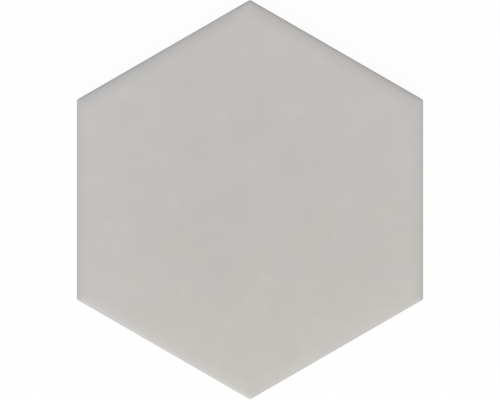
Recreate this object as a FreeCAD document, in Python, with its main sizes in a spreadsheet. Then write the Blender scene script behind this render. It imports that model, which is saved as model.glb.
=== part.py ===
# Hexagon floor tile: one piece of pressed and fired porcelain, lying on its keyed back.
#
# Frame: millimetres, +Z up, origin at the middle of the plane that the back rests on.
# +X points square at a flat side and +Y at a corner. Seen from above the glazed face shows.

import FreeCAD, Part
import math
import os

import Sketcher

SIDES = 6
TURN = 360 / SIDES
HALF_TURN = TURN / 2
CUSHION_STEPS = 12
STEP_TURN = 90 / CUSHION_STEPS

# Each line: alias, value in millimetres or degrees, what it measures.
SIZES = [
    ("across_flats", 175, "flat side to opposite flat side, at the upright band"),
    ("overall_thickness", 9, "back plane to the middle of the glazed face"),
    ("corner_radius", 1.2, "plan rounding of the six corners at the upright band"),
    ("cushion_width", 8.5, "how far in from the side the glazed face begins to fall"),
    ("cushion_drop", 1.4, "how far the glazed face has fallen where it meets the side"),
    ("corner_softening", 1.1, "growth of the corner rounding for each mm in from the side"),
    ("band_height", 3, "upright band of the side, below the cushion"),
    ("side_draft", 5, "lean of the side between the band and the back, in degrees"),
    ("back_bevel", 0.5, "bevel around the edge of the back"),
    ("cell_width", 16, "key pocket, flat to flat at its mouth"),
    ("cell_depth", 0.8, "key pocket, mouth to floor"),
    ("cell_draft", 25, "lean of a key pocket's walls, in degrees"),
    ("rib_width", 3, "rib between two key pockets"),
    ("border_width", 7, "least plain border between the pockets and the bevel"),
]

# Expressions for what follows from the sizes, shared by the features.
APOTHEM = "(<<sizes>>.across_flats / 2)"
BAND_TOP = "(<<sizes>>.overall_thickness - <<sizes>>.cushion_drop)"
BAND_FOOT = f"({BAND_TOP} - <<sizes>>.band_height)"
CELL_PITCH = "(<<sizes>>.cell_width + <<sizes>>.rib_width)"
CELL_REACH = f"(<<sizes>>.cell_width / 2 / cos({HALF_TURN} * 1deg))"
BACK_APOTHEM = f"({APOTHEM} - {BAND_FOOT} * tan(<<sizes>>.side_draft * 1deg) - <<sizes>>.back_bevel)"
FIELD = f"({BACK_APOTHEM} - <<sizes>>.border_width - {CELL_REACH})"
RINGS = f"floor({FIELD} / ({CELL_PITCH} * cos({HALF_TURN} * 1deg)))"

# The pockets are turned from the tile, so that their flats face its corners. A column of
# them runs towards a corner, rows leave it two turns on, and three such thirds fill the back.
CELL_TURN = HALF_TURN
COLUMN_ANGLE = 90
ROW_ANGLE = COLUMN_ANGLE + 2 * TURN
THIRDS = 3


def make_sheet(doc):
    """The spreadsheet of driving dimensions."""
    sheet = doc.addObject("Spreadsheet::Sheet", "sizes")
    for row, (alias, value, meaning) in enumerate(SIZES, start=1):
        sheet.set(f"A{row}", alias)
        sheet.set(f"B{row}", str(value))
        sheet.set(f"C{row}", meaning)
        sheet.setAlias(f"B{row}", alias)
    doc.recompute()
    return sheet


def direction(angle):
    """Unit vector at this many degrees from a sketch's X axis."""
    return FreeCAD.Vector(math.cos(math.radians(angle)), math.sin(math.radians(angle)), 0)


def flat_sketch(body, name, height):
    """An empty sketch parallel to the back, at the height that an expression gives."""
    sketch = body.newObject("Sketcher::SketchObject", name)
    plane = next(f for f in body.Origin.OriginFeatures if f.Role == "XY_Plane")
    sketch.AttachmentSupport = [(plane, "")]
    sketch.MapMode = "FlatFace"
    sketch.setExpression(".AttachmentOffset.Base.z", height)
    return sketch


def bind(sketch, constraint, name, expression):
    """Adds a constraint that follows an expression."""
    index = sketch.addConstraint(constraint)
    sketch.renameConstraint(index, name)
    sketch.setExpression(f"Constraints.{name}", expression)


def draw_hexagon(sketch, centre, first_angle, apothem, start):
    """Draws a hexagon's six flats around a point of the sketch, not yet joined, and lists them.

    centre is the point, as (geometry, vertex). first_angle is the direction of the first
    flat's normal in degrees. apothem is an expression, and start has numbers near the
    solution: the middle, the apothem and how far each flat stops short of its corners.
    """
    middle, near_apothem, near_gap = start
    half_flat = near_apothem * math.tan(math.radians(HALF_TURN)) - near_gap
    flats = []
    for side in range(SIDES):
        angle = first_angle + side * TURN
        foot = middle + direction(angle) * near_apothem
        along = direction(angle + 90) * half_flat
        flats.append(sketch.addGeometry(Part.LineSegment(foot - along, foot + along)))
    for side, flat in enumerate(flats):
        angle = math.remainder(first_angle + side * TURN + 90, 360)
        sketch.addConstraint(Sketcher.Constraint("Angle", flat, math.radians(angle)))
        reach = Sketcher.Constraint("Distance", *centre, flat, near_apothem)
        bind(sketch, reach, f"apothem_{side}", apothem)
    return flats


def join_flats(sketch, flats):
    """Closes a hexagon with sharp corners."""
    for flat, following in zip(flats, flats[1:] + flats[:1]):
        sketch.addConstraint(Sketcher.Constraint("Coincident", flat, 2, following, 1))


def round_corners(sketch, flats, radius, near_apothem, near_radius):
    """Closes a hexagon around the sketch's origin with equal arcs, tangent to its flats."""
    up = FreeCAD.Vector(0, 0, 1)
    to_corner = (near_apothem - near_radius) / math.cos(math.radians(HALF_TURN))
    corners = []
    for side in range(SIDES):
        angle = side * TURN
        circle = Part.Circle(direction(angle + HALF_TURN) * to_corner, up, near_radius)
        arc = Part.ArcOfCircle(circle, math.radians(angle), math.radians(angle + TURN))
        corners.append(sketch.addGeometry(arc))
    for flat, corner, following in zip(flats, corners, flats[1:] + flats[:1]):
        sketch.addConstraint(Sketcher.Constraint("Tangent", flat, 2, corner, 1))
        sketch.addConstraint(Sketcher.Constraint("Tangent", corner, 2, following, 1))
    for corner in corners[1:]:
        sketch.addConstraint(Sketcher.Constraint("Equal", corners[0], corner))
    bind(sketch, Sketcher.Constraint("Radius", corners[0], near_radius), "rounding", radius)


def outline(body, sheet, name, height, inset="0", near_inset=0.0):
    """The tile's outline at a height, drawn in from the upright band by an expression."""
    sketch = flat_sketch(body, name, height)
    near_apothem = sheet.across_flats / 2 - near_inset
    near_radius = sheet.corner_radius + sheet.corner_softening * near_inset
    near_gap = near_radius * math.tan(math.radians(HALF_TURN))
    start = (FreeCAD.Vector(), near_apothem, near_gap)
    flats = draw_hexagon(sketch, (-1, 1), 0, f"{APOTHEM} - {inset}", start)
    radius = f"<<sizes>>.corner_radius + <<sizes>>.corner_softening * {inset}"
    round_corners(sketch, flats, radius, near_apothem, near_radius)
    return sketch


def press_side(body, sheet):
    """The upright band of the side, and the drafted side below it down to the back."""
    profile = outline(body, sheet, "band_outline", BAND_FOOT)
    band = body.newObject("PartDesign::Pad", "upright_band")
    band.Profile = profile
    band.setExpression("Length", "<<sizes>>.band_height")
    drafted = body.newObject("PartDesign::Pad", "drafted_side")
    drafted.Profile = profile
    drafted.Reversed = True
    drafted.setExpression("Length", BAND_FOOT)
    drafted.setExpression("TaperAngle", "-<<sizes>>.side_draft")


def press_cushion(body, sheet):
    """The face's cushioned edge: a quarter ellipse that runs round softening corners."""
    sections = []
    for step in range(CUSHION_STEPS + 1):
        angle = step * STEP_TURN
        height = f"{BAND_TOP} + <<sizes>>.cushion_drop * sin({angle} * 1deg)"
        inset = f"<<sizes>>.cushion_width * (1 - cos({angle} * 1deg))"
        near_inset = sheet.cushion_width * (1 - math.cos(math.radians(angle)))
        name = f"cushion_outline_{step}"
        sections.append(outline(body, sheet, name, height, f"({inset})", near_inset))
    cushion = body.newObject("PartDesign::AdditiveLoft", "cushioned_face")
    cushion.Profile = sections[0]
    cushion.Sections = sections[1:]
    cushion.Ruled = True


def bevel_back(doc, body):
    """The bevel around the edge of the back."""
    doc.recompute()
    pressed = body.Tip
    heights = [face.CenterOfMass.z for face in pressed.Shape.Faces]
    back = heights.index(min(heights)) + 1
    bevel = body.newObject("PartDesign::Chamfer", "back_bevel")
    bevel.Base = (pressed, [f"Face{back}"])
    bevel.setExpression("Size", "<<sizes>>.back_bevel")


def draw_key(body, sheet):
    """The mouth of the first key pocket, one pitch from the middle towards a corner.

    Two guide lines come first: from the middle to the pocket, and on along a row.
    """
    sketch = flat_sketch(body, "key_outline", "0")
    pitch = sheet.cell_width + sheet.rib_width
    seat = direction(COLUMN_ANGLE) * pitch
    spoke = sketch.addGeometry(Part.LineSegment(FreeCAD.Vector(), seat), True)
    row = sketch.addGeometry(Part.LineSegment(seat, seat + direction(ROW_ANGLE) * pitch), True)
    sketch.addConstraint(Sketcher.Constraint("Coincident", spoke, 1, -1, 1))
    sketch.addConstraint(Sketcher.Constraint("Vertical", spoke))
    bind(sketch, Sketcher.Constraint("Distance", spoke, pitch), "pitch", CELL_PITCH)
    sketch.addConstraint(Sketcher.Constraint("Coincident", row, 1, spoke, 2))
    sketch.addConstraint(Sketcher.Constraint("Angle", row, math.radians(ROW_ANGLE - 360)))
    sketch.addConstraint(Sketcher.Constraint("Equal", spoke, row))
    start = (seat, sheet.cell_width / 2, 0)
    flats = draw_hexagon(sketch, (spoke, 2), CELL_TURN, "<<sizes>>.cell_width / 2", start)
    join_flats(sketch, flats)
    return sketch


def repeat(body, name, line, count):
    """A pattern that repeats pockets along a guide line, one pitch apart."""
    pattern = body.newObject("PartDesign::LinearPattern", name)
    pattern.Direction = line
    pattern.Mode = "Spacing"
    pattern.setExpression("Offset", CELL_PITCH)
    pattern.setExpression("Occurrences", count)
    return pattern


def press_keys(doc, body, sheet):
    """The honeycomb of drafted key pockets in the back, around a plain middle cell.

    A column of pockets and the rows from it fill a third of the honeycomb, which is then
    turned around the middle.
    """
    plain = body.Tip
    outline_of_key = draw_key(body, sheet)
    key = body.newObject("PartDesign::Pocket", "key_pocket")
    key.Profile = outline_of_key
    key.Reversed = True
    key.setExpression("Length", "<<sizes>>.cell_depth")
    key.setExpression("TaperAngle", "-<<sizes>>.cell_draft")
    doc.recompute()
    column = repeat(body, "key_column", (outline_of_key, ["Axis0"]), RINGS)
    rows = repeat(body, "key_rows", (outline_of_key, ["Axis1"]), f"{RINGS} + 1")
    thirds = body.newObject("PartDesign::PolarPattern", "key_thirds")
    thirds.Axis = (outline_of_key, ["N_Axis"])
    thirds.Angle = 360
    thirds.Occurrences = THIRDS
    honeycomb = body.newObject("PartDesign::MultiTransform", "key_honeycomb")
    honeycomb.Originals = [key]
    honeycomb.Transformations = [column, rows, thirds]
    body.Tip = honeycomb
    doc.recompute()
    if honeycomb.Shape.Volume >= key.Shape.Volume or key.Shape.Volume >= plain.Shape.Volume:
        raise RuntimeError("The key pockets take no material from the back")


def check(doc, bodies):
    """Stops if a feature failed, or if a piece isn't one valid solid."""
    for thing in doc.Objects:
        if "Invalid" in thing.State or "Error" in thing.State:
            raise RuntimeError(f"{thing.Name} failed: {thing.getStatusString()}")
    for body in bodies:
        shape = body.Shape
        if shape.isNull() or not shape.isValid() or len(shape.Solids) != 1:
            raise RuntimeError(f"{body.Label} isn't one valid solid")


def write(bodies):
    """Writes each piece to parts/, in a file named for it."""
    os.makedirs("parts", exist_ok=True)
    for body in bodies:
        body.Shape.exportStep(f"parts/{body.Label}.step")


document = FreeCAD.newDocument("hexagon_floor_tile")
sizes = make_sheet(document)
tile = document.addObject("PartDesign::Body", "hexagon_tile")
tile.Label = "hexagon_tile"
press_side(tile, sizes)
press_cushion(tile, sizes)
bevel_back(document, tile)
press_keys(document, tile, sizes)
document.recompute()
check(document, [tile])
write([tile])
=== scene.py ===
import math

import bmesh
import bpy
from mathutils import Matrix, Vector, noise


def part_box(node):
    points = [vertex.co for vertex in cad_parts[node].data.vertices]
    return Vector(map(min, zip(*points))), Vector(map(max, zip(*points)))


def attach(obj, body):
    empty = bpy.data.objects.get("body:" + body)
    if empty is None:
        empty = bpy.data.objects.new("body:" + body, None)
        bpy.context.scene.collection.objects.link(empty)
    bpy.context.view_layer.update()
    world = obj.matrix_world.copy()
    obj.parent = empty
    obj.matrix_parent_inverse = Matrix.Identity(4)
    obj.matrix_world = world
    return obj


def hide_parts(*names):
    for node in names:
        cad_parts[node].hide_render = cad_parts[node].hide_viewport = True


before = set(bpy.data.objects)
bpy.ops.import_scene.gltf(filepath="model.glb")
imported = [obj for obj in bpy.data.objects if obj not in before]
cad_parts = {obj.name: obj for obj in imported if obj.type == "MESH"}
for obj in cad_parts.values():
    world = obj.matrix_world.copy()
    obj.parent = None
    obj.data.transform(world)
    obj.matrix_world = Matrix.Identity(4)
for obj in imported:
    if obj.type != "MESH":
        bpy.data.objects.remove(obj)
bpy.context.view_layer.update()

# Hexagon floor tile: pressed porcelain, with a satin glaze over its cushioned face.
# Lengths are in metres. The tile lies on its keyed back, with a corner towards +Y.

bl_info = {
    "name": "Hexagon floor tile",
    "version": (1, 0, 0),
    "blender": (4, 5, 0),
    "location": "3D View > Sidebar > Tile",
    "description": "Builds a glazed hexagon floor tile and a plain stage to show it on",
    "category": "Add Mesh",
}

MM = 0.001
NODE = "hexagon_tile"
BODY = "root"
LOW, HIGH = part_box(NODE)

SIDES = 6
TURN = math.tau / SIDES
HALF_TURN = TURN / 2
RIGHT_ANGLE = math.pi / 2

# The photograph's frame, and where the tile lies in it.
FRAME_WIDTH_PX = 500
TILE_WIDTH_PX = 346.1
TILE_ABOVE_MIDDLE_PX = 0.4

# Meshing of the face: triangles along each side, rings of them in the cushion, and how much
# they crowd towards the corners, from which ring outwards.
FACE_CUTS = 96
CUSHION_RINGS = 20
CORNER_CROWDING = 0.85
CROWDING_STARTS = 0.4

# The bake layout. Each chart has the size that the tile's width is given, and its place: the
# middle of the face and of the back, and the foot of each side. Faces that lean no more than
# SIDE_SLOPE from upright are on the charts of the sides.
SIDE_SLOPE = 0.35
FACE_CHART = (0.59, 0.305, 0.35)
BACK_CHART = (0.38, 0.8, 0.235)
SIDE_CHARTS = [(0.8, across, foot) for foot in (0.72, 0.8, 0.88) for across in (0.25, 0.75)]

# The lip's rounding as a share of its step, and the segments of the small roundings.
LIP_ROUNDING = 0.8
LIP_SEGMENTS = 3
ARRIS_SEGMENTS = 3
CELL_CORNER_SEGMENTS = 4

# Material slots of the tile and of the floor.
GLAZED = 0
BARE = 1
LIFTED = 0
SHADED = 1

WHITE = (1, 1, 1)
PAPER = (0.9, 0.9, 0.9)

# Where the glaze's grey is coolest, the seed that lays its large patches, and the middle of
# what a noise gives.
COOL_SPOT = (-62 * MM, 58 * MM, 0)
PATCH_SEED = 35.5
NOISE_MIDDLE = (0.5, 0.5, 0.5)


def linear(hex_colour):
    """The linear red, green and blue of an sRGB hex colour."""
    shares = [int(hex_colour[at : at + 2], 16) / 255 for at in (1, 3, 5)]
    return [s / 12.92 if s <= 0.04045 else ((s + 0.055) / 1.055) ** 2.4 for s in shares]


def length(name, description, default):
    """A length that a user may change."""
    return bpy.props.FloatProperty(
        name=name, description=description, default=default, min=0, unit="LENGTH", precision=5
    )


def angle(name, description, default):
    """An angle that a user may change."""
    return bpy.props.FloatProperty(
        name=name, description=description, default=default, unit="ROTATION"
    )


def share(name, description, default):
    """A share or factor that a user may change."""
    return bpy.props.FloatProperty(name=name, description=description, default=default, min=0)


def colour(name, description, hex_colour):
    """A colour that a user may change."""
    return bpy.props.FloatVectorProperty(
        name=name,
        description=description,
        default=linear(hex_colour),
        subtype="COLOR",
        min=0,
        max=1,
    )


class TileSizes(bpy.types.PropertyGroup):
    """Sizes of the pressed body and of the glaze on it."""

    across_flats: length("Across flats", "Flat side to opposite flat side", HIGH.x - LOW.x)
    thickness: length("Thickness", "Back plane to the middle of the face", HIGH.z - LOW.z)
    corner_radius: length("Corner radius", "Plan rounding of the corners at the side", 1.2 * MM)
    cushion_width: length("Cushion width", "How far in from the side the face falls", 8.5 * MM)
    cushion_drop: length("Cushion drop", "How far the face has fallen at the side", 1.4 * MM)
    corner_softening: share("Corner softening", "Growth of the corner rounding inwards", 1.1)
    band_height: length("Band height", "Upright band of the side", 3 * MM)
    side_draft: angle("Side draft", "Lean of the side below the band", math.radians(5))
    back_bevel: length("Back bevel", "Bevel around the edge of the back", 0.5 * MM)
    arris: length("Arris rounding", "Rounding of the bare body's edges", 0.25 * MM)
    cell_width: length("Key width", "Key pocket, flat to flat at its mouth", 16 * MM)
    cell_depth: length("Key depth", "Key pocket, mouth to floor", 0.8 * MM)
    cell_draft: angle("Key draft", "Lean of a key pocket's walls", math.radians(25))
    cell_rounding: length("Key rounding", "Plan rounding of a key pocket", 1.6 * MM)
    rib_width: length("Rib width", "Rib between two key pockets", 3 * MM)
    cell_rings: bpy.props.IntProperty(
        name="Key rings", description="Rings of key pockets around the middle", default=4, min=0
    )
    lip_drop: length("Glaze lip", "How far the glaze runs down the side", 0.8 * MM)
    lip_wave: length("Lip wave", "How unevenly the glaze ends on the side", 0.25 * MM)
    lip_wave_pitch: length("Lip wave pitch", "Distance between the lip's waves", 9 * MM)
    glaze_step: length("Glaze step", "How far the glaze stands out at its lip", 0.12 * MM)
    cushion_wave: share("Cushion wave", "How much the cushion's width varies", 0.13)
    cushion_wave_pitch: length("Cushion wave pitch", "Distance between its waves", 42 * MM)
    wander: length("Side wander", "How unevenly the bare side runs", 0.08 * MM)
    wander_pitch: length("Wander pitch", "Distance between its waves", 13 * MM)
    ripple: length("Glaze ripple", "Depth of the gentle hollows in the glaze", 0.06 * MM)
    ripple_pitch: length("Ripple pitch", "Distance between the hollows", 34 * MM)


class TileFinish(bpy.types.PropertyGroup):
    """Sizes and strengths of the patterns in the glaze and in the fired body."""

    cool_from: length("Cool from", "How far from its spot the cool tint starts to fade", 12 * MM)
    cool_to: length("Cool to", "How far from its spot the cool tint ends", 48 * MM)
    warm_turn: angle("Warm turn", "Which way the glaze turns warmer", math.radians(-77.5))
    warm_from: length("Warm from", "How far that way the warm tint starts", 17.4 * MM)
    warm_to: length("Warm to", "How far that way the warm tint is full", 82.4 * MM)
    fleck_pitch: length("Fleck pitch", "Distance between the flecks of tint", 18 * MM)
    fleck_stray: length("Fleck stray", "How far noise from 0 to 1 draws a tint away", 230 * MM)
    fleck_tone: share("Fleck tone", "How much the tone changes with the flecks", 0.07)
    patch_pitch: length("Patch pitch", "Distance between thicker patches of glaze", 40 * MM)
    patch_tone: share("Patch tone", "How much paler a thick patch is than a thin one", 0.054)
    lap_from: length("Lap from", "How far out the glaze starts to lap paler", 20 * MM)
    lap_to: length("Lap to", "How far out the glaze is palest", 110 * MM)
    lap_tone: share("Lap tone", "How much paler the glaze is there", 0.0405)
    cloud_pitch: length("Cloud pitch", "Distance between the faint clouds", 15 * MM)
    cloud_tone: share("Cloud tone", "How much paler the clouds are", 0.03)
    rim_from: share("Rim from", "Share of the cushion's fall where the rim darkens", 0.55)
    speck_pitch: length("Speck pitch", "Distance between the glaze's specks", 9 * MM)
    peel_pitch: length("Peel pitch", "Distance between the orange peel's dimples", 1.5 * MM)
    peel_depth: length("Peel depth", "Depth of the orange peel's dimples", 0.02 * MM)
    grain_pitch: length("Grain pitch", "Distance between the body's granules", 0.5 * MM)
    grain_depth: length("Grain depth", "Depth of the gaps between granules", 0.06 * MM)
    iron_pitch: length("Iron pitch", "Distance between the grains of iron", 3.5 * MM)
    wash_pitch: length("Wash pitch", "Distance between patches of kiln wash", 7 * MM)
    wash_from: length("Wash from", "Height at which the kiln wash starts to fade", 0.02 * MM)
    wash_to: length("Wash to", "Height at which the kiln wash ends", 0.2 * MM)
    mist_reach: length("Mist reach", "How far the mist of glaze settled down the side", 3 * MM)


class TileColours(bpy.types.PropertyGroup):
    """Colours of the glaze and of the fired body."""

    glaze: colour("Glaze", "Satin glaze over most of the face", "#C0BCB9")
    glaze_cool: colour("Cool glaze", "Where the glaze is coolest", "#BFBDBB")
    glaze_warm: colour("Warm glaze", "Where the glaze is warmest", "#C1BDB6")
    # These three darken and cool the cushion's fall: partly the glaze thinning and breaking over
    # the edge, partly painted shade, with a cooler cast that is a painted reflection.
    thin_glaze_and_shade: colour("Thin glaze", "Where the glaze thins over the edge", "#B6B5B5")
    cool_thin_glaze_and_shade: colour("Cool thin glaze", "Where the cool glaze thins", "#B2B4B7")
    rim_break_and_shade: colour("Rim", "Where the glaze breaks over the rim", "#A8AAA9")
    glaze_speck: colour("Glaze specks", "Fine specks in the glaze", "#9D9892")
    biscuit: colour("Biscuit", "Bare fired body", "#CBC3B7")
    biscuit_dark: colour("Dark biscuit", "Darker grains of the body", "#AEA495")
    iron: colour("Iron specks", "Sparse dark specks of the body", "#7A6B5A")
    kiln_wash: colour("Kiln wash", "Traces of wash on the back's ribs", "#DDD9D0")


class StageSettings(bpy.types.PropertyGroup):
    """The plain floor, the soft light and the camera."""

    floor_size: length("Floor size", "Corner to opposite corner of the floor", 8)
    floor_gap: length("Floor gap", "How far the floor lies under the tile", 0.05 * MM)
    floor_glow: share("Floor glow", "How far the floor's shade is lifted to white", 0.96)
    glow_from: length("Glow from", "How far out the floor starts to turn quite white", 0.2)
    glow_to: length("Glow to", "How far out the floor is quite white", 0.9)
    key_share: share("Key share", "Share of the light that the softbox gives", 0.42)
    key_height: angle("Key height", "Elevation of the softbox", math.radians(38))
    key_turn: angle("Key turn", "How far the softbox is turned to the left", math.radians(7))
    key_distance: length("Key distance", "Softbox to tile", 7)
    key_size: length("Key size", "Side of the square softbox", 3.6)
    lens: bpy.props.FloatProperty(
        name="Lens", description="Focal length in millimetres", default=200, min=1
    )


def along_side(apothem, radius, part):
    """A point on one side of a rounded hexagon, part of the way from corner to corner.

    The side's own axes are used: how far out, and how far along from its middle.
    """
    half_flat = (apothem - radius) * math.tan(HALF_TURN)
    reach = (2 * part - 1) * (half_flat + radius * HALF_TURN)
    if abs(reach) <= half_flat:
        return apothem, reach
    swing = (abs(reach) - half_flat) / radius
    out = apothem - radius + radius * math.cos(swing)
    return out, math.copysign(half_flat + radius * math.sin(swing), reach)


def direction(turn):
    """Unit vector at this angle from +X."""
    return Vector((math.cos(turn), math.sin(turn), 0))


def outline_point(apothem, radius, side, part):
    """A point on a rounded hexagon around the origin."""
    out, along = along_side(apothem, radius, part)
    turn = side * TURN
    return direction(turn) * out + direction(turn + RIGHT_ANGLE) * along


def wave(point, pitch):
    """Smooth noise from -1 to 1, with waves about a pitch apart."""
    return noise.noise(point / pitch)


class Outline:
    """Where each vertex lies around the tile: its side, and its part of the way along it."""

    def __init__(self, bm, sizes):
        self.sizes = sizes
        self.apothem = sizes.across_flats / 2
        self.band_top = sizes.thickness - sizes.cushion_drop
        self.side = bm.verts.layers.float.new("side")
        self.part = bm.verts.layers.float.new("part")

    def at(self, vert, inset, radius=None):
        """The point that lies this far in from the tile's side, at the vertex's place."""
        if radius is None:
            radius = self.sizes.corner_radius + self.sizes.corner_softening * inset
        return outline_point(self.apothem - inset, radius, vert[self.side], vert[self.part])

    def tag(self, vert):
        """Notes a flat hexagon's vertex, of circumradius 1, and gives its ring."""
        flat = Vector((vert.co.x, vert.co.y, 0))
        outs = [flat.dot(direction(side * TURN)) for side in range(SIDES)]
        side = outs.index(max(outs))
        ring = outs[side] / math.cos(HALF_TURN)
        vert[self.side] = side
        vert[self.part] = 0.5
        if ring > 0:
            along = flat.dot(direction(side * TURN + RIGHT_ANGLE))
            vert[self.part] = min(1, max(0, along / ring + 0.5))
        return ring


def crowd(part, amount):
    """Moves the parts of a side towards its corners."""
    return part - amount * math.sin(math.tau * part) / math.tau


def throw_face(bm, outline):
    """The glazed face: a hexagon of small triangles, bent down at its cushioned edge."""
    sizes = outline.sizes
    bmesh.ops.create_circle(bm, cap_ends=True, cap_tris=True, segments=SIDES, radius=1)
    bmesh.ops.subdivide_edges(bm, edges=bm.edges[:], cuts=FACE_CUTS - 1, use_grid_fill=True)
    level = 1 - CUSHION_RINGS / FACE_CUTS
    for vert in bm.verts:
        ring = outline.tag(vert)
        crowding = CORNER_CROWDING * max(0, (ring - CROWDING_STARTS) / (1 - CROWDING_STARTS)) ** 2
        vert[outline.part] = crowd(vert[outline.part], crowding)
        rim = outline.at(vert, 0)
        width = sizes.cushion_width
        width *= 1 + sizes.cushion_wave * wave(rim, sizes.cushion_wave_pitch)
        rise = min(1, (1 - ring) / (1 - level)) * RIGHT_ANGLE
        inset = width * (1 - math.cos(rise))
        inward = min(1, ring / level)
        apothem = (outline.apothem - inset) * inward
        radius = (sizes.corner_radius + sizes.corner_softening * inset) * inward
        point = outline_point(apothem, radius, vert[outline.side], vert[outline.part])
        hollow = (1 + wave(point, sizes.ripple_pitch)) / 2 * sizes.ripple * math.sin(rise)
        point.z = outline.band_top + sizes.cushion_drop * math.sin(rise) - hollow
        vert.co = point


def draw_row(bm, outline, rim, inset, height, drip=0, wander=0):
    """Draws the open rim on to a new row around the side, and gives the row's edges."""
    sizes = outline.sizes
    drawn = bmesh.ops.extrude_edge_only(bm, edges=rim)["geom"]
    for vert in drawn:
        if isinstance(vert, bmesh.types.BMVert):
            radius = max(sizes.corner_radius - inset, sizes.arris)
            rim_point = outline.at(vert, 0)
            shift = wander * wave(rim_point, sizes.wander_pitch)
            vert.co = outline.at(vert, inset + shift, radius)
            vert.co.z = height + drip * wave(rim_point, sizes.lip_wave_pitch)
    return [edge for edge in drawn if isinstance(edge, bmesh.types.BMEdge) and edge.is_boundary]


def round_arris(bm, edges, width, segments):
    """Rounds the edge between two faces."""
    bmesh.ops.bevel(
        bm,
        geom=edges,
        offset=width,
        offset_type="OFFSET",
        segments=segments,
        profile=0.5,
        affect="EDGES",
        material=-1,
    )


def run_lip(bm, outline):
    """The glaze that runs a little way down the side and ends in a rounded, wavy lip.

    Gives the lip's lower edges, and the crease under it where the bare side starts.
    """
    sizes = outline.sizes
    foot = outline.band_top - sizes.lip_drop
    rim = [edge for edge in bm.edges if edge.is_boundary]
    drip = sizes.lip_wave
    rim = draw_row(bm, outline, rim, 0, (outline.band_top + foot) / 2, drip / 2)
    lip = draw_row(bm, outline, rim, 0, foot, drip)
    crease = draw_row(bm, outline, lip, sizes.glaze_step, foot, drip)
    return lip, crease


def press_side(bm, outline, rim):
    """The bare side under the glaze: band, drafted side, bevel and a margin of the back."""
    sizes = outline.sizes
    band_foot = outline.band_top - sizes.band_height
    inset = sizes.glaze_step
    foot = draw_row(bm, outline, rim, inset, band_foot)
    inset += (band_foot - sizes.back_bevel) * math.tan(sizes.side_draft)
    bevel_top = draw_row(bm, outline, foot, inset, sizes.back_bevel, wander=sizes.wander)
    inset += sizes.back_bevel
    bevel_foot = draw_row(bm, outline, bevel_top, inset, 0, wander=sizes.wander)
    inset += 2 * sizes.arris
    draw_row(bm, outline, bevel_foot, inset, 0, wander=sizes.wander)
    return foot + bevel_top + bevel_foot


def key_places(sizes):
    """The middles of the key pockets: a honeycomb around the plain middle cell."""
    pitch = sizes.cell_width + sizes.rib_width
    places = []
    for third in range(SIDES // 2):
        turn = third * 2 * TURN + RIGHT_ANGLE
        column = direction(turn) * pitch
        row = direction(turn + 2 * TURN) * pitch
        for out in range(1, sizes.cell_rings + 1):
            for along in range(sizes.cell_rings + 1):
                places.append(column * out + row * along)
    return places


def press_keys(bm, sizes):
    """The key pockets, each with a narrow margin of the back around its mouth."""
    margin = 2 * sizes.arris
    reach = (sizes.cell_width / 2 + margin) / math.cos(HALF_TURN)
    faces = []
    corners = []
    for place in key_places(sizes):
        seat = Matrix.Translation(place) @ Matrix.Rotation(HALF_TURN, 4, "Z")
        ring = bmesh.ops.create_circle(
            bm, cap_ends=True, segments=SIDES, radius=reach, matrix=seat
        )["verts"]
        corners += ring
        faces += ring[0].link_faces
    bmesh.ops.reverse_faces(bm, faces=[face for face in faces if face.normal.z > 0])
    rounded = bmesh.ops.bevel(
        bm,
        geom=corners,
        offset=(sizes.cell_rounding + margin) * math.tan(HALF_TURN),
        offset_type="OFFSET",
        segments=CELL_CORNER_SEGMENTS,
        profile=0.5,
        affect="VERTICES",
        material=-1,
    )
    faces = list(dict.fromkeys(face for vert in rounded["verts"] for face in vert.link_faces))
    bmesh.ops.inset_individual(
        bm, faces=faces, thickness=margin, depth=0, use_even_offset=True
    )
    mouths = [edge for face in faces for edge in face.edges]
    bmesh.ops.inset_individual(
        bm,
        faces=faces,
        thickness=sizes.cell_depth * math.tan(sizes.cell_draft),
        depth=-sizes.cell_depth,
        use_even_offset=True,
    )
    floors = [edge for face in faces for edge in face.edges]
    return mouths + floors


def close_back(bm):
    """The plane of the back, between the margins of the side and of the key pockets."""
    rims = [edge for edge in bm.edges if edge.is_boundary]
    bmesh.ops.triangle_fill(
        bm, edges=rims, use_beauty=True, use_dissolve=False, normal=Vector((0, 0, -1))
    )


def unwrap(bm, sizes):
    """Lays the face, the back and the six sides out flat, side by side, to be baked."""
    layout = bm.loops.layers.uv.new("OFBake")
    right = Vector((1, 0, 0))
    ahead = Vector((0, 1, 0))
    up = Vector((0, 0, 1))
    for face in bm.faces:
        chart, across, along = FACE_CHART, right, ahead
        if face.normal.z < -SIDE_SLOPE:
            chart = BACK_CHART
        elif face.normal.z < SIDE_SLOPE:
            middle = face.calc_center_median()
            side = round(math.atan2(middle.y, middle.x) / TURN) % SIDES
            chart, across, along = SIDE_CHARTS[side], direction(side * TURN + RIGHT_ANGLE), up
        size, left, low = chart
        scale = size / sizes.across_flats
        for loop in face.loops:
            place = loop.vert.co
            loop[layout].uv = (left + scale * across.dot(place), low + scale * along.dot(place))


def mould_tile(sizes):
    """The tile's mesh: one closed shell, glazed above the lip and bare below it."""
    bm = bmesh.new()
    outline = Outline(bm, sizes)
    throw_face(bm, outline)
    lip, crease = run_lip(bm, outline)
    glazed = list(bm.faces)
    arrises = press_side(bm, outline, crease)
    arrises += press_keys(bm, sizes)
    close_back(bm)
    for face in bm.faces:
        face.smooth = True
        face.material_index = BARE
    for face in glazed:
        face.material_index = GLAZED
    for edge in crease:
        edge.smooth = False
    round_arris(bm, lip, sizes.glaze_step * LIP_ROUNDING, LIP_SEGMENTS)
    round_arris(bm, arrises, sizes.arris, ARRIS_SEGMENTS)
    bmesh.ops.recalc_face_normals(bm, faces=bm.faces[:])
    unwrap(bm, sizes)
    mesh = bpy.data.meshes.new("hexagon_tile_shell")
    bm.to_mesh(mesh)
    bm.free()
    return mesh


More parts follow.
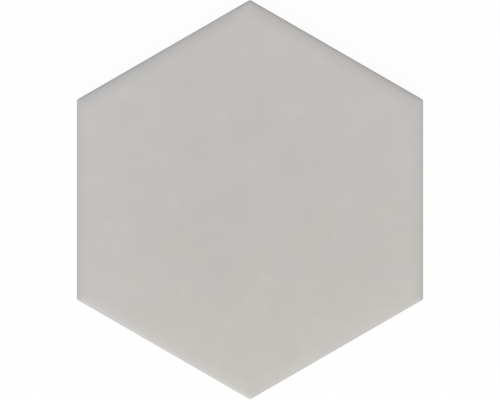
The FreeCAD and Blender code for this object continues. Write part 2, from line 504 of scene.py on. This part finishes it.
def add(tree, kind, inputs=None, output=None, **settings):
    """Adds a node with its settings and links, and gives one of its outputs.

    Each input is a plain value, a colour or another node's output.
    """
    node = tree.nodes.new(kind)
    for name, value in settings.items():
        setattr(node, name, value)
    for key, value in (inputs or {}).items():
        socket = next(s for at, s in enumerate(node.inputs) if s.enabled and key in (at, s.name))
        if isinstance(value, bpy.types.NodeSocket):
            tree.links.new(value, socket)
        elif socket.type == "RGBA":
            socket.default_value = (*value, 1)
        else:
            socket.default_value = value
    return next((s for s in node.outputs if s.enabled and output in (None, s.name)), None)


def new_material(name):
    """A material with its node tree, its shader's inputs and the place on the object."""
    material = bpy.data.materials.new(name)
    material.use_nodes = True
    tree = material.node_tree
    place = add(tree, "ShaderNodeTexCoord", output="Object")
    return material, tree, tree.nodes["Principled BSDF"].inputs, place


def glaze_tint(tree, place, finish, colours):
    """The glaze's grey: a shade cooler around one spot, and warmer towards the opposite corner.

    Noise draws both tints away from their place, which leaves them in flecks. Gives the grey,
    how cool it is, and the noise.
    """
    drift = add(
        tree,
        "ShaderNodeTexNoise",
        {"Vector": place, "Scale": 1 / finish.fleck_pitch, "Detail": 4, "Roughness": 0.7},
        "Color",
    )
    drift = add(tree, "ShaderNodeVectorMath", {0: drift, 1: NOISE_MIDDLE}, operation="SUBTRACT")
    stray = (finish.fleck_stray, finish.fleck_stray, 0)
    drawn = add(
        tree, "ShaderNodeVectorMath", {0: drift, 1: stray, 2: place}, operation="MULTIPLY_ADD"
    )

    gap = add(tree, "ShaderNodeVectorMath", {0: drawn, 1: COOL_SPOT}, operation="DISTANCE")
    coolness = add(
        tree,
        "ShaderNodeMapRange",
        {"Value": gap, "From Min": finish.cool_to, "From Max": finish.cool_from},
        interpolation_type="SMOOTHSTEP",
    )
    cooled = add(
        tree,
        "ShaderNodeMix",
        {"Factor": coolness, "A": colours.glaze, "B": colours.glaze_cool},
        data_type="RGBA",
    )

    way = direction(finish.warm_turn)
    reach = add(tree, "ShaderNodeVectorMath", {0: drawn, 1: way}, operation="DOT_PRODUCT")
    warmth = add(
        tree,
        "ShaderNodeMapRange",
        {"Value": reach, "From Min": finish.warm_from, "From Max": finish.warm_to},
    )
    grey = add(
        tree,
        "ShaderNodeMix",
        {"Factor": warmth, "A": cooled, "B": colours.glaze_warm},
        data_type="RGBA",
    )
    return grey, coolness, drift


def glaze_tone(tree, place, finish, patches, drift):
    """How pale the glaze is, as a factor around 1."""
    # The spray laps thicker and paler towards the edge, and in large patches.
    reach = add(tree, "ShaderNodeVectorMath", {0: place}, operation="LENGTH")
    thin_tone = 1 - finish.patch_tone / 2
    lap = add(
        tree,
        "ShaderNodeMapRange",
        {
            "Value": reach,
            "From Min": finish.lap_from,
            "From Max": finish.lap_to,
            "To Min": thin_tone,
            "To Max": thin_tone + finish.lap_tone,
        },
        interpolation_type="SMOOTHSTEP",
    )
    tone = add(
        tree,
        "ShaderNodeMath",
        {0: patches, 1: finish.patch_tone, 2: lap},
        operation="MULTIPLY_ADD",
    )

    # Fainter clouds stand alone, half as wide as the distance between them.
    clouds = add(
        tree,
        "ShaderNodeTexNoise",
        {"Vector": place, "Scale": 1 / finish.cloud_pitch, "Detail": 1},
    )
    clouds = add(
        tree,
        "ShaderNodeMapRange",
        {"Value": clouds, "From Min": 0.58, "From Max": 0.8, "To Max": finish.cloud_tone},
        interpolation_type="SMOOTHSTEP",
    )
    tone = add(tree, "ShaderNodeMath", {0: tone, 1: clouds}, operation="ADD")

    # The tone drifts up and down as the tints do.
    height = add(tree, "ShaderNodeSeparateXYZ", {"Vector": drift}, "Z")
    return add(
        tree,
        "ShaderNodeMath",
        {0: height, 1: finish.fleck_tone, 2: tone},
        operation="MULTIPLY_ADD",
    )


def glaze_specks(tree, place, finish, colours, clouded):
    """A fine speck shows here and there, about one to the square centimetre."""
    specks = add(
        tree,
        "ShaderNodeTexVoronoi",
        {"Vector": place, "Scale": 1 / finish.speck_pitch},
        voronoi_dimensions="2D",
    )
    specks = add(
        tree,
        "ShaderNodeMapRange",
        {"Value": specks, "From Min": 0.015, "From Max": 0.03, "To Min": 0.3, "To Max": 0},
    )
    return add(
        tree,
        "ShaderNodeMix",
        {"Factor": specks, "A": clouded, "B": colours.glaze_speck},
        data_type="RGBA",
    )


def shaded_glaze_edge(tree, place, sizes, finish, colours, speckled, coolness):
    """Darkens and cools the glaze as the face falls away, most at the rim: partly thin glaze,
    partly painted shade and a painted reflection.
    """
    height = add(tree, "ShaderNodeSeparateXYZ", {"Vector": place}, "Z")
    fall = add(
        tree,
        "ShaderNodeMapRange",
        {
            "Value": height,
            "From Min": sizes.thickness,
            "From Max": sizes.thickness - sizes.cushion_drop,
        },
    )
    thin = add(
        tree,
        "ShaderNodeMix",
        {"Factor": coolness, "A": colours.thin_glaze_and_shade, "B": colours.cool_thin_glaze_and_shade},
        data_type="RGBA",
    )
    thinned_and_shaded = add(
        tree,
        "ShaderNodeMix",
        {"Factor": fall, "A": speckled, "B": thin},
        data_type="RGBA",
    )
    rim = add(tree, "ShaderNodeMapRange", {"Value": fall, "From Min": finish.rim_from})
    return add(
        tree,
        "ShaderNodeMix",
        {"Factor": rim, "A": thinned_and_shaded, "B": colours.rim_break_and_shade},
        data_type="RGBA",
    )


def glaze_material(sizes, finish, colours):
    """Zirconium glaze, sprayed on and fired satin: an even grey, faintly clouded, softly shiny."""
    material, tree, shader, place = new_material("satin_glaze")
    patches = add(
        tree,
        "ShaderNodeTexNoise",
        {"Vector": place, "W": PATCH_SEED, "Scale": 1 / finish.patch_pitch, "Detail": 3},
        noise_dimensions="4D",
    )
    grey, coolness, drift = glaze_tint(tree, place, finish, colours)
    tone = glaze_tone(tree, place, finish, patches, drift)
    clouded = add(tree, "ShaderNodeHueSaturation", {"Value": tone, "Color": grey})
    speckled = glaze_specks(tree, place, finish, colours, clouded)
    edged = shaded_glaze_edge(tree, place, sizes, finish, colours, speckled, coolness)
    tree.links.new(edged, shader["Base Color"])

    # The sheen changes a little from patch to patch.
    sheen = add(
        tree,
        "ShaderNodeMapRange",
        {"Value": patches, "From Min": 0.3, "From Max": 0.7, "To Min": 0.36, "To Max": 0.44},
    )
    tree.links.new(sheen, shader["Roughness"])

    # The fired glaze has a fine orange peel.
    peel = add(
        tree,
        "ShaderNodeTexNoise",
        {"Vector": place, "Scale": 1 / finish.peel_pitch, "Detail": 2},
    )
    bump = add(
        tree,
        "ShaderNodeBump",
        {"Strength": 0.25, "Distance": finish.peel_depth, "Height": peel},
    )
    tree.links.new(bump, shader["Normal"])
    shader["IOR"].default_value = 1.52
    return material


def biscuit_body(tree, place, finish, colours, grains):
    """The fired body's colour: mottled by its pressed granules, with sparse grains of iron."""
    mottle = add(
        tree,
        "ShaderNodeMapRange",
        {"Value": grains, "From Min": 0.35, "From Max": 0.75, "To Max": 0.6},
    )
    body = add(
        tree,
        "ShaderNodeMix",
        {"Factor": mottle, "A": colours.biscuit, "B": colours.biscuit_dark},
        data_type="RGBA",
    )
    iron = add(
        tree, "ShaderNodeTexVoronoi", {"Vector": place, "Scale": 1 / finish.iron_pitch}
    )
    iron = add(
        tree,
        "ShaderNodeMapRange",
        {"Value": iron, "From Min": 0.05, "From Max": 0.08, "To Min": 0.7, "To Max": 0},
    )
    return add(
        tree,
        "ShaderNodeMix",
        {"Factor": iron, "A": body, "B": colours.iron},
        data_type="RGBA",
    )


def kiln_washed(tree, place, finish, colours, body):
    """Kiln wash was rolled on to the ribs only, and lies there in worn patches."""
    height = add(tree, "ShaderNodeSeparateXYZ", {"Vector": place}, "Z")
    ribs = add(
        tree,
        "ShaderNodeMapRange",
        {
            "Value": height,
            "From Min": finish.wash_from,
            "From Max": finish.wash_to,
            "To Min": 1,
            "To Max": 0,
        },
    )
    worn = add(
        tree,
        "ShaderNodeTexNoise",
        {"Vector": place, "Scale": 1 / finish.wash_pitch, "Detail": 8, "Roughness": 0.65},
    )
    worn = add(
        tree,
        "ShaderNodeMapRange",
        {"Value": worn, "From Min": 0.42, "From Max": 0.68, "To Max": 0.6},
    )
    wash = add(tree, "ShaderNodeMath", {0: ribs, 1: worn}, operation="MULTIPLY")
    return add(
        tree,
        "ShaderNodeMix",
        {"Factor": wash, "A": body, "B": colours.kiln_wash},
        data_type="RGBA",
    )


def misted(tree, place, sizes, finish, colours, body):
    """A mist of glaze settled on the side under the lip, and thins out downwards."""
    height = add(tree, "ShaderNodeSeparateXYZ", {"Vector": place}, "Z")
    lip = sizes.thickness - sizes.cushion_drop - sizes.lip_drop
    mist = add(
        tree,
        "ShaderNodeMapRange",
        {
            "Value": height,
            "From Min": lip - finish.mist_reach,
            "From Max": lip,
            "To Max": 0.7,
        },
        interpolation_type="SMOOTHSTEP",
    )
    # The mist takes the thin glaze's colour, which also holds painted shade.
    return add(
        tree,
        "ShaderNodeMix",
        {"Factor": mist, "A": body, "B": colours.thin_glaze_and_shade},
        data_type="RGBA",
    )


def biscuit_material(sizes, finish, colours):
    """Vitrified porcelain, dust-pressed and fired: matt and granular, with traces of kiln wash."""
    material, tree, shader, place = new_material("porcelain_biscuit")
    grains = add(
        tree,
        "ShaderNodeTexNoise",
        {"Vector": place, "Scale": 1 / finish.grain_pitch, "Detail": 4},
    )
    body = biscuit_body(tree, place, finish, colours, grains)
    body = kiln_washed(tree, place, finish, colours, body)
    body = misted(tree, place, sizes, finish, colours, body)
    tree.links.new(body, shader["Base Color"])

    bump = add(
        tree,
        "ShaderNodeBump",
        {"Strength": 0.5, "Distance": finish.grain_depth, "Height": grains},
    )
    tree.links.new(bump, shader["Normal"])
    shader["Roughness"].default_value = 0.82
    return material


class MESH_OT_hexagon_tile(bpy.types.Operator):
    """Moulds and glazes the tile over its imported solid"""

    bl_idname = "mesh.hexagon_tile"
    bl_label = "Hexagon tile"

    def execute(self, context):
        sizes = context.scene.tile_sizes
        finish = context.scene.tile_finish
        colours = context.scene.tile_colours
        mesh = mould_tile(sizes)
        mesh.materials.append(glaze_material(sizes, finish, colours))
        mesh.materials.append(biscuit_material(sizes, finish, colours))
        tile = bpy.data.objects.new("glazed_hexagon_tile", mesh)
        context.scene.collection.objects.link(tile)
        tile.modifiers.new("weighted_normals", "WEIGHTED_NORMAL").keep_sharp = True
        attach(tile, BODY)
        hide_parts(NODE)
        return {"FINISHED"}


def white_to_the_eye(tree, surface, glow):
    """Lifts a surface towards white for what sees it, and leaves the light it gives alone."""
    seen = add(tree, "ShaderNodeLightPath", output="Is Camera Ray")
    path = seen.node.outputs
    for ray in ("Is Glossy Ray", "Is Transmission Ray"):
        seen = add(tree, "ShaderNodeMath", {0: seen, 1: path[ray]}, operation="MAXIMUM")
    lifted = add(tree, "ShaderNodeMath", {0: seen, 1: glow}, operation="MULTIPLY")
    white = add(tree, "ShaderNodeEmission", {"Color": WHITE})
    return add(tree, "ShaderNodeMixShader", {0: lifted, 1: surface, 2: white})


def paper_material(name, stage, lifted):
    """Matt white paper. Where it is lifted, its shade is faint, and fades out beyond the tile."""
    material, tree, _, place = new_material(name)
    surface = add(tree, "ShaderNodeBsdfDiffuse", {"Color": PAPER})
    if lifted:
        reach = add(tree, "ShaderNodeVectorMath", {0: place}, operation="LENGTH")
        glow = add(
            tree,
            "ShaderNodeMapRange",
            {
                "Value": reach,
                "From Min": stage.glow_from,
                "From Max": stage.glow_to,
                "To Min": stage.floor_glow,
            },
        )
        surface = white_to_the_eye(tree, surface, glow)
    tree.links.new(surface, tree.nodes["Material Output"].inputs["Surface"])
    return material


def lay_floor(context, stage, sizes):
    """The plain white floor, with a faint shadow around the tile and a full one under it."""
    bm = bmesh.new()
    corner = sizes.across_flats / 2 / math.cos(HALF_TURN)
    bmesh.ops.create_circle(bm, cap_ends=True, segments=SIDES, radius=corner)
    under = list(bm.faces)
    drawn = bmesh.ops.extrude_edge_only(bm, edges=bm.edges[:])["geom"]
    rim = [part for part in drawn if isinstance(part, bmesh.types.BMVert)]
    spread = stage.floor_size / 2 / corner
    bmesh.ops.scale(bm, verts=rim, vec=(spread, spread, 1))
    for face in bm.faces:
        face.material_index = SHADED if face in under else LIFTED
    bmesh.ops.translate(bm, verts=bm.verts[:], vec=(0, 0, -stage.floor_gap))
    bmesh.ops.recalc_face_normals(bm, faces=bm.faces[:])
    mesh = bpy.data.meshes.new("floor")
    bm.to_mesh(mesh)
    bm.free()
    mesh.materials.append(paper_material("white_paper", stage, lifted=True))
    mesh.materials.append(paper_material("shaded_paper", stage, lifted=False))
    floor = bpy.data.objects.new("floor", mesh)
    context.scene.collection.objects.link(floor)


def hang_lights(context, stage):
    """A softbox towards the tile's lower corner, and an even white surround."""
    world = bpy.data.worlds.new("white_surround")
    world.use_nodes = True
    tree = world.node_tree
    ambient = add(
        tree, "ShaderNodeBackground", {"Color": WHITE, "Strength": 1 - stage.key_share}
    )
    surface = white_to_the_eye(tree, ambient, 1)
    tree.links.new(surface, tree.nodes["World Output"].inputs["Surface"])
    context.scene.world = world

    lamp = bpy.data.lights.new("softbox", "AREA")
    lamp.size = stage.key_size
    # An area lamp of this power gives the floor its share of the light that shows a
    # colour as it is written.
    lamp.energy = stage.key_share * (math.pi * stage.key_distance) ** 2
    lamp.energy /= math.sin(stage.key_height)
    softbox = bpy.data.objects.new("softbox", lamp)
    aim = direction(-RIGHT_ANGLE - stage.key_turn) * math.cos(stage.key_height)
    aim.z = math.sin(stage.key_height)
    softbox.location = aim * stage.key_distance
    softbox.rotation_euler = aim.to_track_quat("Z", "Y").to_euler()
    softbox.visible_camera = False
    context.scene.collection.objects.link(softbox)


def place_camera(context, stage, sizes):
    """A long lens straight above the tile, with the photograph's framing."""
    data = bpy.data.cameras.new("camera")
    data.lens = stage.lens
    metres_per_px = sizes.across_flats / TILE_WIDTH_PX
    rim = sizes.thickness - sizes.cushion_drop
    distance = metres_per_px * FRAME_WIDTH_PX * stage.lens / data.sensor_width
    camera = bpy.data.objects.new("camera", data)
    camera.location = (0, -TILE_ABOVE_MIDDLE_PX * metres_per_px, rim + distance)
    context.scene.collection.objects.link(camera)
    context.scene.camera = camera


class SCENE_OT_tile_stage(bpy.types.Operator):
    """Lays the floor, hangs the lights and places the camera"""

    bl_idname = "scene.tile_stage"
    bl_label = "Tile stage"

    def execute(self, context):
        stage = context.scene.tile_stage
        lay_floor(context, stage, context.scene.tile_sizes)
        hang_lights(context, stage)
        place_camera(context, stage, context.scene.tile_sizes)
        context.scene.view_settings.view_transform = "Standard"
        return {"FINISHED"}


class VIEW3D_PT_hexagon_tile(bpy.types.Panel):
    """The tile's sizes, finish and colours, and the operators that build it"""

    bl_label = "Hexagon tile"
    bl_space_type = "VIEW_3D"
    bl_region_type = "UI"
    bl_category = "Tile"

    def draw(self, context):
        for name in PROPERTIES:
            box = self.layout.box()
            group = getattr(context.scene, name)
            for setting in group.__annotations__:
                box.prop(group, setting)
        for operator in OPERATORS:
            self.layout.operator(operator.bl_idname)


PROPERTIES = {
    "tile_sizes": TileSizes,
    "tile_finish": TileFinish,
    "tile_colours": TileColours,
    "tile_stage": StageSettings,
}
OPERATORS = [MESH_OT_hexagon_tile, SCENE_OT_tile_stage]


def register():
    """Registers the settings, the operators and the panel."""
    for name, group in PROPERTIES.items():
        bpy.utils.register_class(group)
        setattr(bpy.types.Scene, name, bpy.props.PointerProperty(type=group))
    for operator in OPERATORS:
        bpy.utils.register_class(operator)
    bpy.utils.register_class(VIEW3D_PT_hexagon_tile)


def unregister():
    """Takes the panel, the operators and the settings away again."""
    bpy.utils.unregister_class(VIEW3D_PT_hexagon_tile)
    for operator in reversed(OPERATORS):
        bpy.utils.unregister_class(operator)
    for name, group in reversed(PROPERTIES.items()):
        delattr(bpy.types.Scene, name)
        bpy.utils.unregister_class(group)


def main():
    """Builds the tile and its stage."""
    register()
    bpy.ops.mesh.hexagon_tile()
    bpy.ops.scene.tile_stage()


if __name__ == "__main__":
    main()
